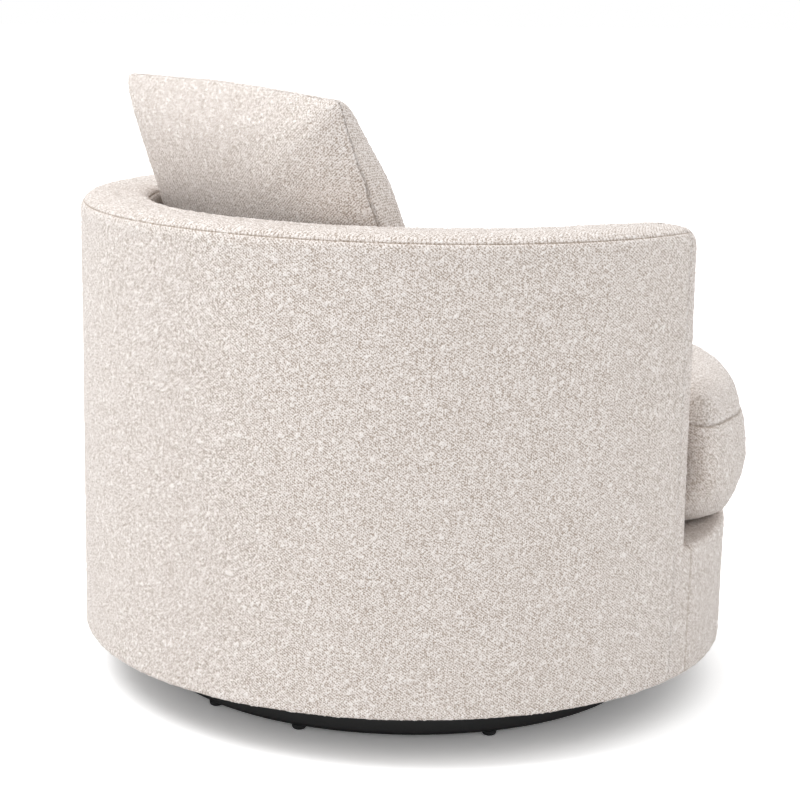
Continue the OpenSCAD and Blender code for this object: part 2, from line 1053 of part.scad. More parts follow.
// Outline of the pillow on its own plane, with its sides drawn in between the ears
function pillow_outline(inset) =
    let (
        w = pillow_w / 2 - inset,
        h = pillow_h / 2 - inset,
        n = pillow_side_points
    )
    [
        for (side = [0 : 3], i = [0 : n - 1])
            let (
                f = 2 * i / n - 1,
                draw = pillow_draw * (1 - f * f),
                turned = side % 2 == 1,
                a = turned ? h - draw : w - draw,
                b = (turned ? w : h) * f,
                c = cos(side * 90),
                s = sin(side * 90)
            )
            [a * c - b * s, a * s + b * c]
    ];

function pillow_rise(reach, half) =
    half * pow(1 - pow(reach, pillow_rise_power), 1 / pillow_round_power);

// One ring of the pillow: the outline near the seam, rounder towards the crown
function pillow_ring(outline, inset, reach, height) =
    let (round_share = pow(1 - reach, pillow_blend_power))
    [
        for (p = outline)
            let (
                turn = atan2(p[1] / pillow_h, p[0] / pillow_w),
                x = (pillow_w / 2 - inset) * cos(turn),
                y = (pillow_h / 2 - inset) * sin(turn)
            )
            [
                reach * (p[0] + (x - p[0]) * round_share),
                reach * (p[1] + (y - p[1]) * round_share),
                height
            ]
    ];

module pillow_solid(inset) {
    outline = pillow_outline(inset);
    half = pillow_t / 2 - inset;
    n = len(pillow_reaches);
    back = [for (i = [0 : n - 1])
        pillow_ring(outline, inset, pillow_reaches[i], -pillow_rise(pillow_reaches[i], half))];
    front = [for (i = [n - 2 : -1 : 0])
        pillow_ring(outline, inset, pillow_reaches[i], pillow_rise(pillow_reaches[i], half))];
    lofted(concat(back, front));
}

module pillow_place() {
    translate([0, pillow_foot_y, pillow_foot_z])
        rotate([90 - pillow_lean, 0, 0])
            translate([0, pillow_h / 2, 0])
                children();
}

module pillow_cover() {
    on_axis()
        color(cream)
            pillow_place()
                difference() {
                    pillow_solid(0);
                    pillow_solid(cloth_t);
                }
}

module pillow_fill() {
    on_axis()
        color(white_wadding)
            pillow_place()
                pillow_solid(cloth_t + fit_gap);
}

glides();
base_disc();
riser_block();
riser_screws();
lower_plate();
lower_race();
plate_screws();
pivot_pin();
pin_washer();
pin_nut();
ball_cage();
bearing_balls();
upper_race();
upper_plate();
plate_bolts();
tee_nuts();
bottom_board();
base_studs();
seat_ring();
wall_posts();
arm_posts();
top_rail();
outer_panel();
inner_panel();
cross_straps();
long_straps();
deck_pad();
deck_cover();
wall_foam();
rim_foam();
left_arm_foam();
right_arm_foam();
outer_wadding();
outside_cover();
inside_cover();
top_band();
left_arm_front();
right_arm_front();
front_cover();
dust_cover();
seat_cover();
seat_core();
pillow_cover();
pillow_fill();
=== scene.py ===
import json
import math

import bmesh
import bpy
from mathutils import Matrix, Vector, noise


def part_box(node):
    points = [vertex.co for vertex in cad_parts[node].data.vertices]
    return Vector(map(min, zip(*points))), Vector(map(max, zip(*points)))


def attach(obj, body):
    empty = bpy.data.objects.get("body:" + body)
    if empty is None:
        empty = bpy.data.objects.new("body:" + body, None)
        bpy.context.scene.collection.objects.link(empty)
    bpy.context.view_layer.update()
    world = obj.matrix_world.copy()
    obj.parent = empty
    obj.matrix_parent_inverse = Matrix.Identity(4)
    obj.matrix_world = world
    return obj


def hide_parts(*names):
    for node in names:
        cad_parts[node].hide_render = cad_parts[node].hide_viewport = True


noise.seed_set(5)  # without a seed, noise_vector changes from run to run
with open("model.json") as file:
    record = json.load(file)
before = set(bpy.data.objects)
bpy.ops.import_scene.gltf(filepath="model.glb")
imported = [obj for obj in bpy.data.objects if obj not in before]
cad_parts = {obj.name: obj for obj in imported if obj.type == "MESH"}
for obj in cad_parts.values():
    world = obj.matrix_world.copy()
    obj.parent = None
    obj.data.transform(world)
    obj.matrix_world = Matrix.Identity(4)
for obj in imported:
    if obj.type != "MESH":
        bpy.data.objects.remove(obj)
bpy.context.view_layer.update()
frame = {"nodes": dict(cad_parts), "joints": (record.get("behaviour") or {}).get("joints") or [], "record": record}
swivelJoint = next(j for j in frame["joints"] if j["name"] == "swivel")
print("stage: frame loaded,", len(frame["nodes"]), "nodes")


# Camera: a portrait lens behind the chair's right side, turned a little about its own axis

cameraSettings = {
    "place": (-2.286, 1.6255, 0.957),  # metres
    "aim": (0.0, 0.0125),              # the swivel axis, in plan
    "tiltDown": 12.98,                 # degrees
    "roll": 1.33,                      # degrees
    "lens": 91.26,                     # millimetres on a 36 mm sensor
    "shift": (-0.0076, 0.0539),        # shares of the picture's width
}


def makeCamera(settings):
    data = bpy.data.cameras.new("photoCamera")
    data.sensor_width = 36
    data.lens = settings["lens"]
    data.shift_x, data.shift_y = settings["shift"]
    x, y, z = settings["place"]
    heading = math.atan2(settings["aim"][1] - y, settings["aim"][0] - x)
    turn = Matrix.Rotation(heading - math.pi / 2, 4, "Z")
    tilt = Matrix.Rotation(math.radians(90 - settings["tiltDown"]), 4, "X")
    roll = Matrix.Rotation(math.radians(settings["roll"]), 4, "Z")
    camera = bpy.data.objects.new("photoCamera", data)
    camera.matrix_world = Matrix.Translation((x, y, z)) @ turn @ tilt @ roll
    bpy.context.scene.collection.objects.link(camera)
    bpy.context.scene.camera = camera


makeCamera(cameraSettings)
print("stage: camera placed")


# Materials

def hexColour(code):
    # sRGB hex to the linear colour that the shaders take
    parts = [int(code[i:i + 2], 16) / 255 for i in (1, 3, 5)]
    linear = [c / 12.92 if c <= 0.04045 else ((c + 0.055) / 1.055) ** 2.4 for c in parts]
    return (*linear, 1.0)


def addNode(tree, kind, settings=None, links=None):
    # a shader node with its settings and what goes into its sockets
    node = tree.nodes.new("ShaderNode" + kind)
    for name, value in (settings or {}).items():
        setattr(node, name, value)
    for name, value in (links or {}).items():
        if isinstance(value, bpy.types.NodeSocket):
            tree.links.new(value, node.inputs[name])
        else:
            node.inputs[name].default_value = value
    return node


def newMaterial(name):
    material = bpy.data.materials.new(name)
    material.use_nodes = True
    material.node_tree.nodes.clear()
    return material, material.node_tree


def finishMaterial(tree, shader):
    addNode(tree, "OutputMaterial", links={"Surface": shader.outputs[0]})


def colourRamp(tree, value, stops):
    node = addNode(tree, "ValToRGB", links={"Fac": value})
    ramp = node.color_ramp
    while len(ramp.elements) < len(stops):
        ramp.elements.new(0.5)
    for element, (place, code) in zip(ramp.elements, stops):
        element.position = place
        element.color = hexColour(code)
    return node


# Looped wool-blend upholstery cloth: knots of pale looped yarn over a slack diagonal weave.
# The knots are matt and almost white, and the gaps between them are painted darker beige, as the shade between the
# loops.
loopedCloth = {
    "knots": "#f8f3ef",
    "yarn": "#ede5e0",
    # the gaps' colour is painted shade between the loops
    "gaps": "#a8998c",
    # colour of the painted shade in the seams' creases
    "seamThread": "#a99887",
    "weavePitch": 0.0029,   # metres between yarns of the ground weave
    "smallLoop": 0.0027,    # metres across the small loops between the knots
    "fibre": 0.0014,        # drawn coarser than real fibres, so that it shows
    "yarnTurns": ((0, 1.0), (90, 0.7)),  # degrees of the weave's two yarns, and how strong each is
    "layers": (0.5, 0.36, 0.26),  # shares of small loops, fibres and knots laid over the weave
    "tones": (0.20, 0.46, 0.68),  # heights at which the shaded gaps', yarn's and knots' colours are pure
    "bumpHeight": 0.0012,   # metres
    "sheen": 0.2,
}


def makeLoopedCloth(settings):
    material, tree = newMaterial("loopedCloth")
    knots = addNode(tree, "Attribute", {"attribute_name": "knots"})
    sewn = addNode(tree, "Attribute", {"attribute_name": "sewn"})
    flat = addNode(tree, "Attribute", {"attribute_name": "flat"})
    place = addNode(tree, "TexCoord")
    fibres = addNode(
        tree, "TexNoise", {},
        {"Vector": place.outputs["Object"], "Scale": 1 / settings["fibre"], "Detail": 2.0},
    )
    smallLoops = addNode(
        tree, "TexVoronoi", {},
        {"Vector": place.outputs["Object"], "Scale": 1 / settings["smallLoop"]},
    )
    # a wave's period is 2 pi over 10 scales, and its diagonal bands lie root 2 closer
    waveScale = 2 * math.pi / (10 * math.sqrt(2) * settings["weavePitch"])
    weave = []
    for turn, strength in settings["yarnTurns"]:
        turned = addNode(
            tree, "Mapping", {},
            {"Vector": flat.outputs["Vector"], "Rotation": (0, 0, math.radians(turn)),
             "Scale": (0.8, 1.15, 1)},
        )
        yarns = addNode(
            tree, "TexWave", {"bands_direction": "DIAGONAL"},
            {"Vector": turned.outputs["Vector"], "Scale": waveScale,
             "Distortion": 1.8, "Detail": 1.0, "Detail Scale": 2.0},
        )
        weave.append(addNode(
            tree, "Math", {"operation": "MULTIPLY"}, {0: yarns.outputs["Fac"], 1: strength},
        ).outputs[0])
    crossing = addNode(tree, "Math", {"operation": "MAXIMUM"}, {0: weave[0], 1: weave[1]})
    loopTops = addNode(
        tree, "MapRange", {},
        {"Value": smallLoops.outputs["Distance"], "From Min": 0.15, "From Max": 0.75,
         "To Min": 1.0, "To Max": 0.0},
    )
    fuzz = addNode(
        tree, "MapRange", {},
        {"Value": fibres.outputs["Fac"], "From Min": 0.40, "From Max": 0.60},
    )
    bigKnots = addNode(
        tree, "MapRange", {},
        {"Value": knots.outputs["Fac"], "From Min": 0.15, "From Max": 0.85},
    )
    ground = crossing.outputs[0]
    for share, layer in zip(settings["layers"], (loopTops, fuzz, bigKnots)):
        ground = addNode(
            tree, "Mix", {"data_type": "FLOAT"},
            {"Factor": share, "A": ground, "B": layer.outputs["Result"]},
        ).outputs["Result"]
    # the colour darkens where the loops are low: painted shade between the loops
    colours = colourRamp(
        tree, ground,
        list(zip(settings["tones"], (settings["gaps"], settings["yarn"], settings["knots"]))),
    )
    # a broken dark line along each seam: painted shade in its crease
    broken = addNode(
        tree, "MapRange", {},
        {"Value": fibres.outputs["Fac"], "From Min": 0.42, "From Max": 0.56},
    )
    seamShadeMask = addNode(
        tree, "Math", {"operation": "MULTIPLY"},
        {0: sewn.outputs["Fac"], 1: broken.outputs["Result"]},
    )
    seamShaded = addNode(
        tree, "Mix", {"data_type": "RGBA"},
        {"Factor": seamShadeMask.outputs[0], 6: colours.outputs["Color"],
         7: hexColour(settings["seamThread"])},
    )
    bump = addNode(
        tree, "Bump", {},
        {"Height": ground, "Distance": settings["bumpHeight"], "Strength": 0.9},
    )
    shader = addNode(
        tree, "BsdfPrincipled", {},
        {"Base Color": seamShaded.outputs[2], "Roughness": 0.95,
         "Specular IOR Level": 0.2, "Sheen Weight": settings["sheen"], "Sheen Roughness": 0.6,
         "Normal": bump.outputs["Normal"]},
    )
    finishMaterial(tree, shader)
    return material


clothMaterial = makeLoopedCloth(loopedCloth)


# A plain finish with fine grain: lacquered board, moulded nylon, zinc-plated steel and so on
def makePlain(
    name, pale, dark, grain, roughness, metallic=0.0, bumpHeight=0.0002, stretch=(1, 1, 1),
):
    material, tree = newMaterial(name)
    place = addNode(tree, "TexCoord")
    scaled = addNode(
        tree, "Mapping", {}, {"Vector": place.outputs["Object"], "Scale": stretch},
    )
    marks = addNode(
        tree, "TexNoise", {},
        {"Vector": scaled.outputs["Vector"], "Scale": 1 / grain, "Detail": 4.0},
    )
    colours = colourRamp(tree, marks.outputs["Fac"], [(0.3, dark), (0.7, pale)])
    rough = addNode(
        tree, "MapRange", {},
        {"Value": marks.outputs["Fac"], "To Min": roughness - 0.08, "To Max": roughness + 0.08},
    )
    bump = addNode(
        tree, "Bump", {},
        {"Height": marks.outputs["Fac"], "Distance": bumpHeight, "Strength": 0.5},
    )
    shader = addNode(
        tree, "BsdfPrincipled", {},
        {"Base Color": colours.outputs["Color"], "Roughness": rough.outputs["Result"],
         "Metallic": metallic, "Normal": bump.outputs["Normal"]},
    )
    finishMaterial(tree, shader)
    return material


finishes = {
    "black_lacquer": makePlain("blackLacquer", "#1c1c1d", "#121213", 0.0015, 0.42),
    "black_nylon": makePlain("blackNylon", "#1d1d1e", "#151516", 0.0008, 0.5),
    "zinc_steel": makePlain("zincSteel", "#c3c5c6", "#a9abad", 0.006, 0.34, metallic=1.0),
    "cage_brass": makePlain("cageBrass", "#c9a75a", "#b28f45", 0.005, 0.36, metallic=1.0),
    "timber": makePlain("beechTimber", "#cdab7d", "#ab8557", 0.004, 0.6, stretch=(1, 1, 0.12)),
    "bent_panel": makePlain(
        "bentPlywood", "#b9946a", "#9a7650", 0.005, 0.62, stretch=(1, 1, 0.15),
    ),
    "strap": makePlain("elasticWebbing", "#454547", "#2c2c2e", 0.0022, 0.85),
    "dark_cloth": makePlain("darkLining", "#2a2a2c", "#1c1c1e", 0.0015, 0.9),
    "deck_cloth": makePlain("deckLining", "#ddd4c8", "#c9beb0", 0.0014, 0.9),
    "foam": makePlain("cutFoam", "#efe2b4", "#dccd97", 0.0018, 0.9, bumpHeight=0.0006),
    "wadding": makePlain(
        "polyesterWadding", "#f4f3ef", "#e2e1dd", 0.006, 0.95, bumpHeight=0.001,
    ),
}


def dressNodes():
    slots = {s["node"]: s["material_slot"] for s in frame["record"]["subparts"]}
    for name, node in frame["nodes"].items():
        material = finishes.get(slots[name], clothMaterial)
        node.data.materials.clear()
        node.data.materials.append(material)


dressNodes()
print("stage: materials made and put on the frame's nodes")


# The drum, read from the frame where it says

drum = {
    "radius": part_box("outside_cover")[1].x,
    "axisY": swivelJoint["pos_m"][1],
    "wall": 0.095,
    "openingHalf": 67.5,      # degrees from straight ahead
    "apronHalf": 68.5,
    "rim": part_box("top_band")[1].z,
    "rimRound": 0.025,
    "rimPower": 3.0,
    "tipRound": 0.037,        # the same at an arm's front, which is rounder
    "tipPower": 2.5,
    "droop": 0.0035,          # how much lower the rim is at an arm's front
    "droopTurn": 14,          # degrees of the wall over which it gets there
    "seam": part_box("outside_cover")[1].z,
    "hem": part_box("outside_cover")[0].z,
    "hemTurn": 0.050,         # how far the cloth is turned in under the drum
    "hemCorner": 0.004,
    "deck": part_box("front_cover")[1].z,
    "apronEdge": 0.008,
    "armSeamTurn": 40,        # degrees round an arm's front
    "seamCorner": 0.030,      # radius with which the outer seam turns down
    "armLead": (0.0070, -0.002),  # how far an arm's front leans out, at the deck and at the rim
}
armRadius = drum["wall"] / 2
midRadius = drum["radius"] - armRadius
wallHalf = drum["openingHalf"] + math.degrees(math.asin(armRadius / midRadius))

loops = {
    "step": 0.0026,           # spacing of the mesh that carries the loops
    "knot": 0.0048,           # metres across a knot of looped yarn
    "height": 0.0013,         # metres that a knot stands up
    "settle": 0.0006,         # the cloth starts this far in, so that its loops reach its face
}

sewing = {
    "depth": 0.0018,          # metres that a seam sinks in
    "width": 0.0036,
    "thread": 0.0011,         # half width of the painted seam shade
    "puff": 0.0005,           # how far the cloth swells beside a seam
    "puffAt": 0.012,
    "puffWide": 0.009,
}


def smooth(low, high, value):
    share = min(max((value - low) / (high - low), 0), 1)
    return share * share * (3 - 2 * share)


def onArc(centre, turn, radius, side):
    # a place along the wall in plan; side is 1 where the middle of the arc is behind the cloth
    # and droop and tip say how near it is to an arm's front
    fromFront = abs((turn - 90) % 360 - 180)
    droop = smooth(wallHalf + drum["droopTurn"], wallHalf, fromFront)
    return {
        "centre": Vector(centre), "turn": math.radians(turn), "radius": radius, "side": side,
        "droop": droop, "tip": 0.0,
    }


def planPoint(place, inset, height=0.0):
    reach = place["radius"] - place["side"] * inset
    x = place["centre"].x + reach * math.cos(place["turn"])
    y = place["centre"].y + reach * math.sin(place["turn"])
    if "lead" in place:
        share = min(max((height - drum["deck"]) / (drum["rim"] - drum["deck"]), 0), 1)
        low, high = drum["armLead"]
        ahead = place["lead"] * (low + (high - low) * share)
        x, y = x + ahead.x, y + ahead.y
    return x, y + drum["axisY"]


def drumArc(start, end, side=1, steps=None):
    radius = drum["radius"] if side > 0 else drum["radius"] - drum["wall"]
    steps = steps or max(1, round(math.radians(abs(end - start)) * radius / loops["step"]))
    turns = [start + (end - start) * i / steps for i in range(steps + 1)]
    return [onArc((0, 0), turn, radius, side) for turn in turns]


def armArc(hand, start, end):
    # hand is 1 for the sitter's left arm; 0 is its outside and 180 its inside
    armTurn = 270 + hand * wallHalf
    centre = (
        midRadius * math.cos(math.radians(armTurn)),
        midRadius * math.sin(math.radians(armTurn)),
    )
    steps = max(1, round(math.radians(abs(end - start)) * armRadius / loops["step"]))
    places = []
    for i in range(steps + 1):
        turn = start + (end - start) * i / steps
        place = onArc(centre, armTurn - hand * turn, armRadius, 1)
        place.update(armTurn=turn, droop=1.0, tip=smooth(0, 70, turn) * smooth(180, 110, turn))
        # the front of an arm leans a little, and its sides stay on the drum
        full = smooth(0, 35, turn) * smooth(180, 145, turn)
        ahead = math.radians(armTurn - hand * 90)
        place["lead"] = Vector((math.cos(ahead), math.sin(ahead))) * full
        places.append(place)
    return places


def spaced(points, step, fine=()):
    # points set evenly along a line of corners, with closer ones at its fine ends
    lengths = [0.0]
    for a, b in zip(points, points[1:]):
        lengths.append(lengths[-1] + math.dist(a, b))
    total = lengths[-1]
    steps = max(1, round(total / step))
    marks = {total * i / steps for i in range(steps + 1)}
    close = {step * share for share in (0.25, 0.5, 0.75, 1.5)}
    if "start" in fine:
        marks |= close
    if "end" in fine:
        marks |= {total - mark for mark in close}
    line = []
    segment = 0
    for mark in sorted(marks):
        while segment < len(points) - 2 and mark > lengths[segment + 1]:
            segment += 1
        share = (mark - lengths[segment]) / max(lengths[segment + 1] - lengths[segment], 1e-9)
        a, b = points[segment], points[segment + 1]
        line.append(tuple(p + (q - p) * share for p, q in zip(a, b)))
    return line


def rimShape(place):
    # the rim's height, the depth of its round and that round's power
    tip = place["tip"]
    depth = drum["rimRound"] + (drum["tipRound"] - drum["rimRound"]) * tip
    power = drum["rimPower"] + (drum["tipPower"] - drum["rimPower"]) * tip
    return drum["rim"] - drum["droop"] * place["droop"], depth, power


def rimInset(height, place):
    # how far the rounded rim has drawn in at a height
    rim, depth, power = rimShape(place)
    rise = (height - rim + depth) / depth
    if rise <= 0:
        return 0.0
    return armRadius * (1 - (1 - min(rise, 1) ** power) ** (1 / power))


def upTheWall(place, heights, top):
    # points up the wall, with the heights stretched so that the last one is at the top
    low, high = heights[0], heights[-1]
    moved = [low + (height - low) * (top - low) / (high - low) for height in heights]
    return [(rimInset(height, place), height) for height in moved]


def overTheRim(place, low):
    # from a height on the side of the rim to the middle of its crown
    rim, depth, power = rimShape(place)
    points = [(rimInset(low, place), low)]
    for degree in range(0, 91):
        a = math.radians(degree)
        height = rim - depth + depth * math.sin(a) ** (2 / power)
        if height > low:
            points.append((armRadius * (1 - abs(math.cos(a)) ** (2 / power)), height))
    points[-1] = (armRadius, rim)
    return points


def wrapCloth(bm, places, rowsAt, sewn=()):
    # a flat grid of cloth wrapped on the form: its columns go to the places along the wall,
    # and rowsAt gives each column's points up the form
    columns = [rowsAt(place) for place in places]
    across, up = len(places) - 1, len(columns[0]) - 1
    grid = bmesh.ops.create_grid(bm, x_segments=across, y_segments=up, size=1)
    flat = bm.verts.layers.float_vector["flat"]
    edge = bm.verts.layers.float["edge"]
    along = [0.0]
    for a, b in zip(places, places[1:]):
        along.append(along[-1] + math.dist(planPoint(a, 0), planPoint(b, 0)))
    heights = []
    for column in columns:
        climb = [0.0]
        for a, b in zip(column, column[1:]):
            climb.append(climb[-1] + math.dist(a, b))
        heights.append(climb)
    for vert in grid["verts"]:
        i = round((vert.co.x + 1) / 2 * across)
        j = round((vert.co.y + 1) / 2 * up)
        inset, height = columns[i][j]
        vert.co = (*planPoint(places[i], inset, height), height)
        vert[flat] = (along[i], height - inset, 0)
        distances = {
            "start": along[i], "end": along[-1] - along[i],
            "bottom": heights[i][j], "top": heights[i][-1] - heights[i][j],
        }
        vert[edge] = min([distances[side] for side in sewn], default=1.0)


def weld(bm, verts=None, within=0.00005):
    bmesh.ops.remove_doubles(bm, verts=bm.verts if verts is None else verts, dist=within)


def newCloth():
    bm = bmesh.new()
    bm.verts.layers.float_vector.new("flat")
    bm.verts.layers.float.new("edge")
    bm.verts.layers.float.new("sewn")
    bm.verts.layers.float.new("knots")
    return bm


def knotHeight(point):
    # 1 on top of a big knot of looped yarn, less on a small one, and 0 in the gaps
    stray = noise.noise_vector(point / (loops["knot"] * 1.3)) * loops["knot"] * 0.35
    spans, middles = noise.voronoi((point + stray) / loops["knot"])
    chance = noise.cell_vector(middles[0] * 7.31 + Vector((0.13, 0.37, 0.71)))[0]
    knot = smooth(0.0, 0.5, spans[1] - spans[0])
    return knot * (0.25 + 0.75 * abs(chance) ** 2.2)


def sewAndRaise(bm, slack=0.0006):
    # sinks the seams, lets the cloth swell beside them, and raises the loops
    edge = bm.verts.layers.float["edge"]
    sewn = bm.verts.layers.float["sewn"]
    knot = bm.verts.layers.float["knots"]
    bm.normal_update()
    moves = []
    for vert in bm.verts:
        away = vert[edge]
        sink = sewing["depth"] * max(0.0, 1 - away / sewing["width"]) ** 2
        swell = sewing["puff"] * math.exp(-((away - sewing["puffAt"]) / sewing["puffWide"]) ** 2)
        wave = slack * noise.noise(vert.co * 11) + slack * 0.5 * noise.noise(vert.co * 27)
        raised = knotHeight(vert.co)
        vert[knot] = raised
        # sewn marks where the painted seam shade lies, a dark line along the seam's crease
        vert[sewn] = smooth(sewing["thread"], sewing["thread"] * 0.4, away)
        moves.append(swell + wave - sink - loops["settle"] + loops["height"] * raised)
    for vert, move in zip(bm.verts, moves):
        vert.co += vert.normal * move


def placePiece(bm, name, body, replaced, material):
    weld(bm)
    mesh = bpy.data.meshes.new(name)
    bm.to_mesh(mesh)
    bm.free()
    mesh.shade_smooth()
    mesh.materials.append(material)
    piece = bpy.data.objects.new(name, mesh)
    bpy.context.scene.collection.objects.link(piece)
    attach(piece, body)
    if replaced:
        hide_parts(*replaced)
    return piece


# Outside cover: one length of cloth round the back and sides, turned in at the arms' fronts

def seamHeight(place):
    # the outer seam runs level and turns down where it reaches the front of an arm
    height = drum["seam"]
    turn = min(place.get("armTurn", 0), 180 - place.get("armTurn", 0))
    corner = drum["seamCorner"]
    left = min(max(armRadius * math.radians(drum["armSeamTurn"] - turn), 0), corner)
    return height - corner + math.sqrt(corner ** 2 - (corner - left) ** 2)


def wallHeights(low):
    # heights of the mesh's rows from near the deck up to the seam, closer beside the seam
    return [h for _, h in spaced([(0, low), (0, drum["seam"])], loops["step"], fine=("end",))]


def hemLine():
    # from under the bottom board round the lower edge of the drum
    low = drum["hem"]
    corner = drum["hemCorner"]
    points = [(drum["hemTurn"], low), (corner, low)]
    for a in map(math.radians, (30, 60, 90)):
        points.append((corner - corner * math.sin(a), low + corner - corner * math.cos(a)))
    return points


def apronRound(degrees):
    # over the rounded edge from the apron to the deck
    edge = drum["apronEdge"]
    return [
        (edge - edge * math.cos(a), drum["deck"] - edge + edge * math.sin(a))
        for a in map(math.radians, degrees)
    ]


def makeOutsideCover():
    bm = newCloth()
    step = loops["step"]
    heights = wallHeights(drum["deck"])
    corner = drum["hemCorner"]
    climb = drum["deck"] - drum["hem"] - corner
    rowsBelow = round(climb / step)
    low = spaced(hemLine(), step) + [
        (0.0, drum["hem"] + corner + climb * i / rowsBelow) for i in range(1, rowsBelow)
    ]
    tucked = low[-4:]
    ledgeFrom = low[-3][1]

    def wallRows(place):
        return low + upTheWall(place, heights, seamHeight(place))

    def armRows(place):
        return tucked + upTheWall(place, heights, seamHeight(place))

    def ledgeRows(place):
        side = [point for point in low if point[1] <= ledgeFrom]
        return side + apronRound(range(15, 91, 15)) + [(0.05, drum["deck"])]

    front = drum["apronHalf"]
    leftArm = armArc(1, drum["armSeamTurn"], 0)
    rightArm = armArc(-1, 0, drum["armSeamTurn"])
    back = drumArc(-90 + wallHalf, 270 - wallHalf)
    wrapCloth(bm, leftArm, armRows, sewn=("start", "top"))
    wrapCloth(bm, back, wallRows, sewn=("top",))
    wrapCloth(bm, rightArm, armRows, sewn=("end", "top"))
    wrapCloth(bm, drumArc(-90 + front, -90 + wallHalf), ledgeRows, sewn=("start",))
    wrapCloth(bm, drumArc(270 - wallHalf, 270 - front), ledgeRows, sewn=("end",))
    weld(bm)
    sewAndRaise(bm)
    return placePiece(
        bm, "outsideCover", "tub",
        ("outside_cover", "outer_wadding"), clothMaterial,
    )


makeOutsideCover()
print("stage: outside cover")


# Band along the rim, which runs on down the fronts of the arms

def makeTopBand():
    bm = newCloth()
    step = loops["step"]
    level = seamHeight(armArc(1, 90, 90)[0])
    count = len(spaced(overTheRim(armArc(1, 90, 90)[0], level), step, fine=("start",)))

    def bandRows(place):
        line = overTheRim(place, seamHeight(place))
        total = sum(math.dist(a, b) for a, b in zip(line, line[1:]))
        rows = spaced(line, total / (count - 5), fine=("start",))
        return rows[:count]

    back = drumArc(-90 + wallHalf, 270 - wallHalf)
    steps = len(back) - 1
    seam = drum["armSeamTurn"]
    wrapCloth(bm, back, bandRows, sewn=("bottom",))
    wrapCloth(bm, drumArc(270 - wallHalf, -90 + wallHalf, side=-1, steps=steps), bandRows,
              sewn=("bottom",))
    for hand in (1, -1):
        turns = ((seam, 0), (180 - seam, seam), (180, 180 - seam))
        if hand < 0:
            turns = tuple((b, a) for a, b in turns)
        for index, (start, end) in enumerate(turns):
            sewn = () if index == 1 else ("bottom",)
            wrapCloth(bm, armArc(hand, start, end), bandRows, sewn=sewn)

    front = spaced([(0, drum["deck"] - 0.006), (0, level)], step)
    for hand in (1, -1):
        start, end = (180 - seam, seam) if hand > 0 else (seam, 180 - seam)
        wrapCloth(
            bm, armArc(hand, start, end),
            lambda place: [(rimInset(h, place), h) for _, h in front], sewn=("start", "end"),
        )
    weld(bm)
    # the columns crowd together in the middle of an arm's crown
    for hand in (1, -1):
        middle = Vector(planPoint(armArc(hand, 90, 90)[0], armRadius, drum["rim"]))
        crowded = [v for v in bm.verts if (v.co.xy - middle).length < 0.012]
        weld(bm, crowded, within=0.0007)
    sewAndRaise(bm)
    return placePiece(
        bm, "topBand", "tub",
        ("top_band", "rim_foam", "left_arm_front", "right_arm_front", "left_arm_foam",
         "right_arm_foam"), clothMaterial,
    )


makeTopBand()
print("stage: top band and arm fronts")


# Inside cover: the cloth inside the back and arms, tucked down beside the deck

def makeInsideCover():
    bm = newCloth()
    heights = wallHeights(drum["deck"] - 0.006)
    seam = drum["armSeamTurn"]

    def rows(place):
        return upTheWall(place, heights, seamHeight(place))

    wrapCloth(bm, armArc(-1, 180 - seam, 180), rows, sewn=("start", "top"))
    wrapCloth(bm, drumArc(270 - wallHalf, -90 + wallHalf, side=-1), rows, sewn=("top",))
    wrapCloth(bm, armArc(1, 180, 180 - seam), rows, sewn=("end", "top"))
    weld(bm)
    sewAndRaise(bm)
    return placePiece(
        bm, "insideCover", "tub", ("inside_cover", "wall_foam"),
        clothMaterial,
    )


makeInsideCover()
print("stage: inside cover")


# Front cover: the apron and the edge of the deck above it

def makeFrontCover():
    bm = newCloth()
    line = hemLine() + apronRound(range(0, 91, 15)) + [(drum["wall"] + 0.003, drum["deck"])]
    rows = spaced(line, loops["step"])
    front = drum["apronHalf"]
    wrapCloth(bm, drumArc(270 - front, 270 + front), lambda place: rows, sewn=("start", "end"))
    sewAndRaise(bm)
    return placePiece(
        bm, "frontCover", "tub", ("front_cover",), clothMaterial,
    )


makeFrontCover()
print("stage: front cover")


# Seat cushion: a plump T-shaped cushion with a sewn edge round its top

seatCushion = {
    "edgeRadius": 0.462,      # metres from the swivel axis to the sewn edge of the front
    "bulgeRadius": 0.475,
    "footRadius": 0.442,
    "bulgeHeight": 0.081,     # metres above the deck
    "edgeHeight": 0.158,
    "crownHeight": 0.228,
    "gap": 0.003,             # beside the back and arms
    "earSwell": 0.011,        # how far an ear's tip swells in front of its arm
    "earFrom": (0.425, 0.452),
    "corner": 0.022,
    "footCorner": 0.147,      # the same at the deck, where no filling reaches into the ears
    "draw": 0.008,            # how far the sides draw in at the deck
    "crownReach": 0.40,       # metres from the edge to where the crown is flat
    "shrink": 0.004,          # the cushion starts this much smaller, and then swells
    "voxel": 0.0104,
    "pressure": 4.0,
    "cap": 0.012,
    "seamDrop": 0.010,        # how much lower the sewn edge is along the front
    "seamFrom": (64, 38),     # degrees from the middle of the front
    "seamFaint": 0.0004,      # how far the mesh stays from the middle of the painted seam shade, which softens it
}
backRadius = drum["radius"] - drum["wall"] - seatCushion["gap"]


